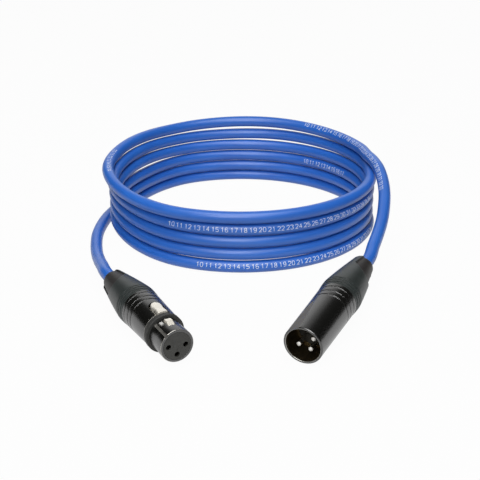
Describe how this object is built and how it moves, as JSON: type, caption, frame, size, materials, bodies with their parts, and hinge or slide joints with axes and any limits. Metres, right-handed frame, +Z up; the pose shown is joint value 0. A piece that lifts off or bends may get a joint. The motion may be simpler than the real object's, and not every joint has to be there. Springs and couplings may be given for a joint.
{
  "type": "xlr cable coil",
  "caption": "Coiled microphone cable with a latching 3-pole female connector and a 3-pole male connector, both with rubber boots, lying in front of the coil.",
  "frame": {"origin": "on the surface that the cable lies on, below the middle of the coil", "axes": "+Z up through the eye of the coil; +Y from the connectors to the coil; +X from the female connector to the male one"},
  "size_m": [0.1649, 0.2534, 0.0423],
  "materials": {
    "shell_metal": "black chromed die-cast zinc, satin gloss",
    "insert_plastic": "glass-filled polyamide, dull black",
    "contact_metal": "bronze with a silver plate",
    "latch_metal": "nickel-plated zinc, satin",
    "spring_steel": "bright stainless steel",
    "clamp_plastic": "white acetal",
    "bushing_plastic": "black polyamide",
    "boot_rubber": "moulded polyurethane, dull slate grey",
    "core_insulation": "coloured conductor insulation",
    "cable_jacket": "soft blue PVC, satin"
  },
  "bodies": {
    "cable": {"female_shell": "shell_metal", "female_insert": "insert_plastic", "socket_contact_1": "contact_metal", "socket_contact_2": "contact_metal", "socket_contact_3": "contact_metal", "latch_pin": "spring_steel", "latch_spring": "spring_steel", "female_ground_contact": "spring_steel", "female_chuck": "clamp_plastic", "female_conductors": "core_insulation", "male_shell": "shell_metal", "male_insert": "insert_plastic", "contact_pin_1": "contact_metal", "contact_pin_2": "contact_metal", "contact_pin_3": "contact_metal", "male_ground_contact": "spring_steel", "male_chuck": "clamp_plastic", "male_conductors": "core_insulation", "cable_coil": "cable_jacket", "lead_female": "cable_jacket", "lead_male": "cable_jacket"},
    "latch": {"latch_lever": "latch_metal"},
    "female_boot_nut": {"female_boot": "boot_rubber", "female_bushing": "bushing_plastic"},
    "male_boot_nut": {"male_boot": "boot_rubber", "male_bushing": "bushing_plastic"}
  },
  "joints": [
    {"name": "latch_press", "type": "hinge", "parent": "cable", "child": "latch", "pos_m": [-0.0423, -0.14553, 0.01465], "axis": [0.8839, 0.4663, -0.0349], "range_deg": [0, 4], "stiffness_Nm_per_rad": 1.2, "springref_deg": -2.86, "deforming": ["latch_spring"]},
    {"name": "female_boot_slide", "type": "slide", "parent": "cable", "child": "female_boot_nut", "axis": [-0.4664, 0.8846, 0.007], "range_m": [0, 0.007]},
    {"name": "male_boot_slide", "type": "slide", "parent": "cable", "child": "male_boot_nut", "axis": [0.4406, 0.8916, 0.1045], "range_m": [0, 0.007]}
  ]
}
